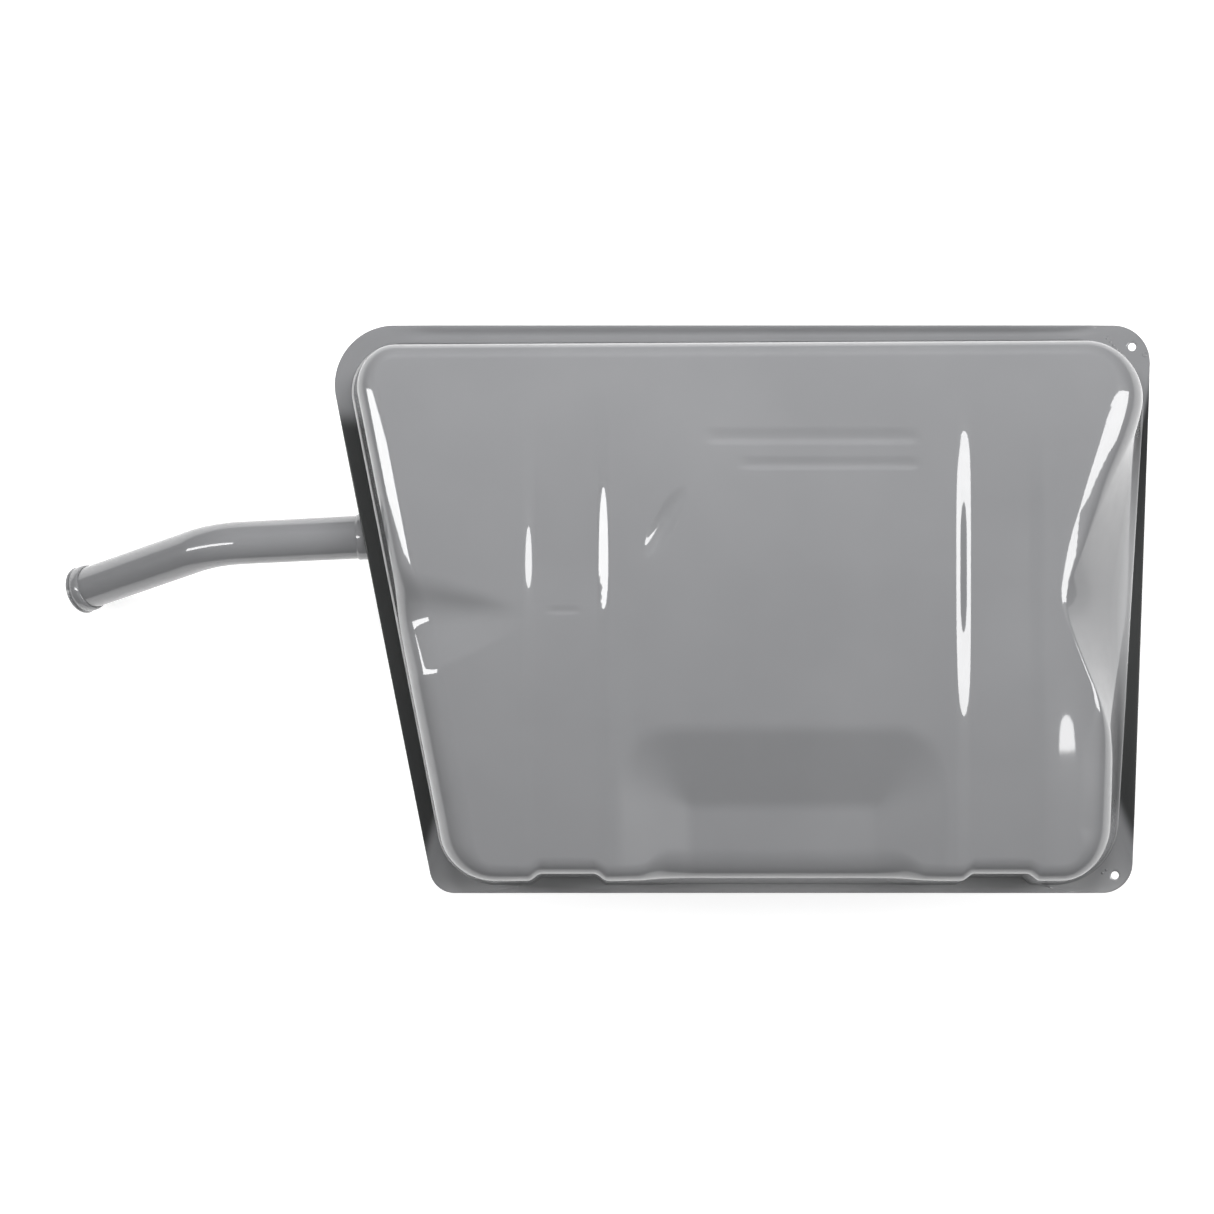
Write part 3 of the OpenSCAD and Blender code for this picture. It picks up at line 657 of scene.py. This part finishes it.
def stadium(grow):
    """The well's outline, one point for each direction of the body's outline."""
    middle = np.mean(WELL_ENDS, axis=0)
    half = (WELL_ENDS[1][0] - WELL_ENDS[0][0]) / 2
    r = WELL_R + grow
    heading = np.arctan2(BODY[:, 1] - middle[1], BODY[:, 0] - middle[0])
    c, s = np.cos(heading), np.sin(heading)
    flat = r / np.maximum(np.abs(s), 1e-9)
    b = half * np.abs(c)
    round_end = b + np.sqrt(np.maximum(r * r - (half * s) ** 2, 0))
    reach = np.where(flat * np.abs(c) <= half, flat, round_end)
    return middle + reach[:, None] * np.column_stack([c, s])


def topside():
    draft = SIDE @ np.array(UPPER_DRAFT, float)
    fillet = SIDE @ np.array(UPPER_FILLET, float)
    rings = flange_rings(BODY, -SHEET)
    base = SEAM_Z - SHEET
    for inset, h in wall_rings(base, draft, fillet, 12, 12):
        rings.append((BODY + BODY_IN * inset[:, None], base - h))
    panel = rings[-1][0]
    rim = stadium(WELL_ROUND)
    for t in (0.03, 0.1, 0.25, 0.45, 0.65, 0.82, 0.93, 1.0):
        rings.append((panel + (rim - panel) * t, np.zeros(AROUND)))
    for k in range(1, 5):
        a = math.pi / 2 * k / 4
        rings.append((stadium(WELL_ROUND * (1 - math.sin(a))),
                      np.full(AROUND, WELL_ROUND * (1 - math.cos(a)))))
    for k in range(1, 5):
        h = WELL_ROUND + (WELL_DEPTH - 2 * WELL_ROUND) * k / 4
        rings.append((stadium(-WELL_TAPER * k / 4), np.full(AROUND, h)))
    for k in range(1, 5):
        a = math.pi / 2 * k / 4
        rings.append((stadium(-WELL_TAPER - WELL_ROUND * (1 - math.cos(a))),
                      np.full(AROUND, WELL_DEPTH - WELL_ROUND * (1 - math.sin(a)))))
    well_floor = rings[-1][0]
    sender = np.array(WELL_ENDS[1], float)
    away = well_floor - sender
    circle = sender + away / np.linalg.norm(away, axis=1)[:, None] * SENDER_HOLE_R
    for t in (0.3, 0.6, 0.85, 1.0):
        rings.append((well_floor + (circle - well_floor) * t,
                      np.full(AROUND, float(WELL_DEPTH))))
    points, faces = [], []
    for k, (xy, z) in enumerate(rings):
        points.extend(np.column_stack([xy, z]).tolist())
        if k:
            faces += band((k - 1) * AROUND, k * AROUND, AROUND)
    piece = new_mesh("topside_skin", points, faces)
    for hole in BOLT_HOLES:
        open_hole(piece, hole, BOLT_HOLE_R, lambda c: c.z > (SEAM_Z - 20) * MM)
    thicken(piece)
    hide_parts("upper_shell")
    return piece


# --- the filler ------------------------------------------------------------------------
PIPE_R = 22.2
PIPE_WALL = 1.2
PIPE_START = np.array([-246.5, 74.5, SEAM_Z - 30])
PIPE_D1 = np.array([-0.998806, -0.048850, 0.0])
PIPE_D2 = np.array([-0.808884, -0.250434, -0.531968])
PIPE_RUN_A = 150
PIPE_RUN_B = 189
PIPE_BEND = math.radians(34.9)
PIPE_BEND_R = 90
PIPE_INSIDE = 55
TUBE_STEPS = 96             # points round the tube, the sleeve and the mouth
FIT_R = PIPE_R + 0.05       # the bore of what sits on the tube


def pipe_path():
    """Points and headings along the filler's centre line, from inside the tank to its lip."""
    reach = PIPE_BEND_R * math.tan(PIPE_BEND / 2)
    corner = PIPE_START + PIPE_D1 * PIPE_RUN_A
    side = PIPE_D2 - PIPE_D1 * np.dot(PIPE_D1, PIPE_D2)
    side /= np.linalg.norm(side)
    stations = []
    for t in np.linspace(-PIPE_INSIDE, PIPE_RUN_A - reach, 26):
        stations.append((PIPE_START + PIPE_D1 * t, PIPE_D1))
    centre = corner - PIPE_D1 * reach + side * PIPE_BEND_R
    for a in np.linspace(0, PIPE_BEND, 22)[1:]:
        at = centre + PIPE_BEND_R * (PIPE_D1 * math.sin(a) - side * math.cos(a))
        stations.append((at, PIPE_D1 * math.cos(a) + side * math.sin(a)))
    for t in np.linspace(reach, PIPE_RUN_B, 30)[1:]:
        stations.append((corner + PIPE_D2 * t, PIPE_D2))
    return stations


def tube_frame(heading):
    """Two directions across a heading, which turn smoothly along the filler."""
    side = np.cross(PIPE_D1, PIPE_D2)
    side /= np.linalg.norm(side)
    return side, np.cross(heading, side)


def lathe_points(at, heading, radius):
    u, v = tube_frame(heading)
    a = np.linspace(0, 2 * math.pi, TUBE_STEPS, endpoint=False)
    return at + radius * (np.cos(a)[:, None] * u + np.sin(a)[:, None] * v)


def ring_solid(name, rings):
    """A closed hollow piece through rings of (place, heading, radius) that end where they
    began."""
    points, faces = [], []
    for at, heading, radius in rings:
        points.extend(lathe_points(at, heading, radius).tolist())
    for k in range(len(rings)):
        faces += band(k * TUBE_STEPS, (k + 1) % len(rings) * TUBE_STEPS, TUBE_STEPS)
    piece = new_mesh(name, points, faces)
    bm = bmesh.new()
    bm.from_mesh(piece.data)
    bmesh.ops.recalc_face_normals(bm, faces=bm.faces)
    bm.to_mesh(piece.data)
    bm.free()
    return piece


def filler():
    """The bent tube, which ends a little way inside the mouth."""
    stations = pipe_path()
    short_of_lip = 8
    last = stations[-1][0] - PIPE_D2 * short_of_lip
    tube = stations[:-2] + [(last, PIPE_D2)]
    outside = [(p, h, PIPE_R) for p, h in tube]
    inside = [(p, h, PIPE_R - PIPE_WALL) for p, h in reversed(tube)]
    pipe = ring_solid("filler_tube", outside + inside)
    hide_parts("filler_pipe")
    return pipe


def sleeve():
    """The brazed socket round the tube, with the braze running out along both."""
    big = 23.55
    rows = [(-29, FIT_R), (-29, big - 0.55), (-28.4, big), (-10, big), (0.4, big), (1.6, 23.2),
            (2.6, 22.7), (3, FIT_R)]
    rings = [(PIPE_START + PIPE_D1 * t, PIPE_D1, r) for t, r in rows]
    piece = ring_solid("filler_sleeve", rings)
    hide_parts("filler_socket")
    return piece


def mouth():
    """The flared cup at the filler's end, with a rolled lip."""
    wall = 1.4
    tip = PIPE_RUN_B
    cup = tip - 16
    big = 24.4
    lip = 1.6
    rows = [(cup, FIT_R), (cup, FIT_R + 0.6), (cup + 0.5, FIT_R + wall), (cup + 4, big),
            (cup + 8, big), (tip - 2 * lip, big)]
    mid = (tip - lip, 25 - lip)
    for k in range(0, 13):
        a = math.radians(-70 + 270 * k / 12)
        rows.append((mid[0] + lip * math.sin(a), mid[1] + lip * math.cos(a)))
    rows += [(tip - 2 * lip - 0.6, big - wall), (cup + 9.5, big - wall), (cup + 9, FIT_R)]
    corner = PIPE_START + PIPE_D1 * PIPE_RUN_A
    rings = [(corner + PIPE_D2 * t, PIPE_D2, r) for t, r in rows]
    piece = ring_solid("filler_lip", rings)
    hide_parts("filler_mouth")
    return piece


# --- materials -------------------------------------------------------------------------
def material(name):
    made = bpy.data.materials.new(name)
    made.use_nodes = True
    tree = made.node_tree
    shader = tree.nodes["Principled BSDF"]
    return made, tree, shader


def noise(tree, scale, detail, rough=0.5):
    place = tree.nodes.new("ShaderNodeTexCoord")
    node = tree.nodes.new("ShaderNodeTexNoise")
    node.inputs["Scale"].default_value = scale
    node.inputs["Detail"].default_value = detail
    node.inputs["Roughness"].default_value = rough
    tree.links.new(place.outputs["Object"], node.inputs["Vector"])
    return node.outputs["Fac"]


def ramp(tree, source, low, high, out_low, out_high):
    node = tree.nodes.new("ShaderNodeMapRange")
    node.inputs["From Min"].default_value = low
    node.inputs["From Max"].default_value = high
    node.inputs["To Min"].default_value = out_low
    node.inputs["To Max"].default_value = out_high
    tree.links.new(source, node.inputs["Value"])
    return node.outputs["Result"]


def mix(tree, share, a, b):
    node = tree.nodes.new("ShaderNodeMix")
    node.data_type = "RGBA"
    for name, value in (("A", a), ("B", b)):
        socket = [s for s in node.inputs if s.name == name and s.type == "RGBA"][0]
        if isinstance(value, bpy.types.NodeSocket):
            tree.links.new(value, socket)
        else:
            socket.default_value = (*value, 1)
    factor = [s for s in node.inputs if s.name == "Factor" and s.type == "VALUE"][0]
    tree.links.new(share, factor)
    return [s for s in node.outputs if s.type == "RGBA"][0]


def bump(tree, source, distance, strength):
    node = tree.nodes.new("ShaderNodeBump")
    node.inputs["Distance"].default_value = distance
    node.inputs["Strength"].default_value = strength
    tree.links.new(source, node.inputs["Height"])
    return node.outputs["Normal"]


def paint():
    """Glossy grey enamel: a lacquer film over a pigment that varies a little in tone, with
    faint orange peel. Two shares stored on the underside's points paint in shade and light:
    painted shade, near-black with little lacquer, on the flange's short sides and in the upper
    wall's root, and painted light, a much paler tone, at the foot of the walls and on the
    flange's lower side. Where a piece has no such shares, both are 0."""
    made, tree, shader = material("tank_enamel")
    cloud = noise(tree, 7, 3)
    fine = noise(tree, 60, 2)
    tone = mix(tree, ramp(tree, cloud, 0.3, 0.7, 0, 1), (0.160, 0.162, 0.167),
               (0.172, 0.174, 0.179))
    # Painted light: a much paler tone at the walls' foot and on the flange's lower side.
    foot = tree.nodes.new("ShaderNodeAttribute")
    foot.attribute_name = "painted_light_share"
    tone = mix(tree, foot.outputs["Fac"], tone, (0.72, 0.722, 0.728))
    # Painted shade: near-black, with less lacquer, on the flange's short sides and in the upper
    # wall's root.
    painted_shade = tree.nodes.new("ShaderNodeAttribute")
    painted_shade.attribute_name = "painted_shade_share"
    share = painted_shade.outputs["Fac"]
    colour = mix(tree, share, tone, (0.030, 0.031, 0.031))
    tree.links.new(colour, shader.inputs["Base Color"])
    tree.links.new(ramp(tree, fine, 0.3, 0.7, 0.36, 0.46), shader.inputs["Roughness"])
    tree.links.new(ramp(tree, share, 0, 1, 1.0, 0.12), shader.inputs["Coat Weight"])
    shader.inputs["IOR"].default_value = 1.5
    shader.inputs["Specular IOR Level"].default_value = 0.3
    shader.inputs["Coat Weight"].default_value = 1.0
    shader.inputs["Coat Roughness"].default_value = 0.04
    shader.inputs["Coat IOR"].default_value = 1.7
    peel = noise(tree, 330, 2)
    tree.links.new(bump(tree, peel, 0.00003, 0.12), shader.inputs["Normal"])
    return made


def metal(name, low, high, rough, scale, grain):
    """Bare or plated metal, clouded between two colours, with a fine grain."""
    made, tree, shader = material(name)
    cloud = noise(tree, scale, 4)
    tree.links.new(mix(tree, ramp(tree, cloud, 0.35, 0.65, 0, 1), low, high),
                   shader.inputs["Base Color"])
    fine = noise(tree, scale * 6, 3)
    tree.links.new(ramp(tree, fine, 0.3, 0.7, rough[0], rough[1]), shader.inputs["Roughness"])
    shader.inputs["Metallic"].default_value = 1.0
    tree.links.new(bump(tree, fine, grain, 0.4), shader.inputs["Normal"])
    return made


def spangle(name):
    """Tinned sheet: crystalline flakes of slightly different brightness."""
    made, tree, shader = material(name)
    place = tree.nodes.new("ShaderNodeTexCoord")
    cells = tree.nodes.new("ShaderNodeTexVoronoi")
    cells.inputs["Scale"].default_value = 90
    tree.links.new(place.outputs["Object"], cells.inputs["Vector"])
    flake = ramp(tree, cells.outputs["Color"], 0, 1, 0, 1)
    tree.links.new(mix(tree, flake, (0.52, 0.53, 0.53), (0.68, 0.69, 0.68)),
                   shader.inputs["Base Color"])
    tree.links.new(ramp(tree, flake, 0, 1, 0.28, 0.42), shader.inputs["Roughness"])
    shader.inputs["Metallic"].default_value = 1.0
    tree.links.new(bump(tree, noise(tree, 400, 3), 0.00004, 0.3), shader.inputs["Normal"])
    return made


def dull(name, low, high, rough, scale, grain):
    """Rubber, plastic or foam, clouded between two colours, with a rough skin."""
    made, tree, shader = material(name)
    cloud = noise(tree, scale, 5, 0.6)
    tree.links.new(mix(tree, ramp(tree, cloud, 0.3, 0.7, 0, 1), low, high),
                   shader.inputs["Base Color"])
    tree.links.new(ramp(tree, cloud, 0.3, 0.7, rough[0], rough[1]), shader.inputs["Roughness"])
    tree.links.new(bump(tree, noise(tree, scale * 4, 4), grain, 0.6), shader.inputs["Normal"])
    return made


# --- light, floor and camera -----------------------------------------------------------
def aim(obj, at):
    obj.rotation_euler = (Vector(at) - obj.location).to_track_quat("-Z", "Y").to_euler()


def area(name, place, at, size, power, glossy=True):
    data = bpy.data.lights.new(name, "AREA")
    data.shape = "RECTANGLE"
    data.size, data.size_y = size
    data.energy = power
    obj = bpy.data.objects.new(name, data)
    obj.location = place
    bpy.context.scene.collection.objects.link(obj)
    aim(obj, at)
    obj.visible_glossy = glossy


# Broad soft areas of the studio: the direction of each, the cosines where it starts and
# is full, and its brightness.
SKY = [
    ((0, 0, 1), -0.3, 0.1, 0.55),           # the whole room
    ((0, 1, 1), 0.75, 1.0, 1.3),            # the wall behind the upper edge
    ((-0.2, -1, 0.2), 0.0, 1.0, 0.6),       # the wall behind the lower edge
    ((0.06, 0.03, 1), 0.95, 0.995, 0.7),    # the ceiling over the panel
    ((0.62, -0.25, 0.74), 0.80, 0.97, 1.8),  # a large reflector on the right
    ((-0.47, 0, 0.88), 0.95, 0.99, -0.4),   # a darker patch on the left
]


def world():
    made = bpy.data.worlds.new("studio")
    bpy.context.scene.world = made
    made.use_nodes = True
    tree = made.node_tree
    back = tree.nodes["Background"]
    place = tree.nodes.new("ShaderNodeTexCoord")
    total = None
    for way, start, end, power in SKY:
        dot = tree.nodes.new("ShaderNodeVectorMath")
        dot.operation = "DOT_PRODUCT"
        tree.links.new(place.outputs["Generated"], dot.inputs[0])
        size = math.sqrt(sum(v * v for v in way))
        dot.inputs[1].default_value = [v / size for v in way]
        lobe = ramp(tree, dot.outputs["Value"], start, end, 0, power)
        lobe.node.interpolation_type = "SMOOTHSTEP"
        if total is None:
            total = lobe
        else:
            add = tree.nodes.new("ShaderNodeMath")
            add.operation = "ADD"
            tree.links.new(total, add.inputs[0])
            tree.links.new(lobe, add.inputs[1])
            total = add.outputs["Value"]
    tree.links.new(total, back.inputs["Strength"])


def floor():
    half = 6.0
    z = -0.5 * MM
    mesh = bpy.data.meshes.new("studio_floor")
    mesh.from_pydata([(-half, -half, z), (half, -half, z), (half, half, z), (-half, half, z)],
                     [], [(0, 1, 2, 3)])
    obj = bpy.data.objects.new("studio_floor", mesh)
    bpy.context.scene.collection.objects.link(obj)
    made, tree, shader = material("floor_white")
    cloud = noise(tree, 1.5, 2)
    tree.links.new(mix(tree, cloud, (0.44, 0.44, 0.44), (0.46, 0.46, 0.46)),
                   shader.inputs["Base Color"])
    shader.inputs["Roughness"].default_value = 0.9
    shader.inputs["Specular IOR Level"].default_value = 0.1
    shader.inputs["Emission Color"].default_value = (1, 1, 1, 1)
    shader.inputs["Emission Strength"].default_value = 0.8
    mesh.materials.append(made)


CAMERA_AT = (0.0085, 0.0023, 3.755)     # square over the underside
CAMERA_LENS = 104.25


def camera():
    data = bpy.data.cameras.new("camera")
    data.sensor_width = 36
    data.lens = CAMERA_LENS
    data.clip_end = 50
    obj = bpy.data.objects.new("camera", data)
    obj.location = CAMERA_AT
    obj.rotation_euler = (0, 0, 0)
    bpy.context.scene.collection.objects.link(obj)
    bpy.context.scene.camera = obj


# --- assembly --------------------------------------------------------------------------
camera()
world()
floor()
area("softbox_left", (-1.25, 0.02, 1.25), (-0.24, 0.05, 0.23), (0.24, 1.4), 10)
area("softbox_right", (1.5, -0.005, 1.25), (0.5, -0.005, 0.23), (0.40, 1.4), 14)
area("key", (0.1, 0.90, 1.4), (0.1, 0.0, 0.24), (1.3, 0.5), 40, glossy=False)
area("fill", (0.1, -1.2, 1.1), (0.1, -0.2, 0.20), (1.5, 0.5), 5, glossy=False)

enamel = paint()
skins = [underside(), topside(), filler(), sleeve(), mouth(), weld_dots(), weld_ring()]
for skin in skins:
    skin.data.materials.clear()
    skin.data.materials.append(enamel)

finish = {
    "zinc_plate": metal("zinc_passivate", (0.62, 0.60, 0.52), (0.74, 0.72, 0.62),
                        (0.25, 0.42), 45, 0.00003),
    "tinned_steel": spangle("tinned_sheet"),
    "seal_rubber": dull("seal_rubber", (0.012, 0.012, 0.012), (0.03, 0.03, 0.03),
                        (0.55, 0.75), 300, 0.00005),
    "black_plastic": dull("gauge_plastic", (0.02, 0.02, 0.022), (0.04, 0.04, 0.042),
                          (0.35, 0.5), 500, 0.00003),
    "float_foam": dull("float_foam", (0.10, 0.09, 0.07), (0.17, 0.15, 0.12),
                       (0.7, 0.9), 700, 0.0002),
    "brass": metal("brass", (0.66, 0.48, 0.20), (0.80, 0.60, 0.28), (0.22, 0.4), 60,
                   0.00002),
}
for part in frame["record"]["subparts"]:
    if part["material_slot"] in finish:
        node = frame["nodes"][part["node"]]
        node.data.materials.clear()
        node.data.materials.append(finish[part["material_slot"]])

bpy.context.scene.view_settings.view_transform = "Standard"
bpy.context.scene.view_settings.look = "None"
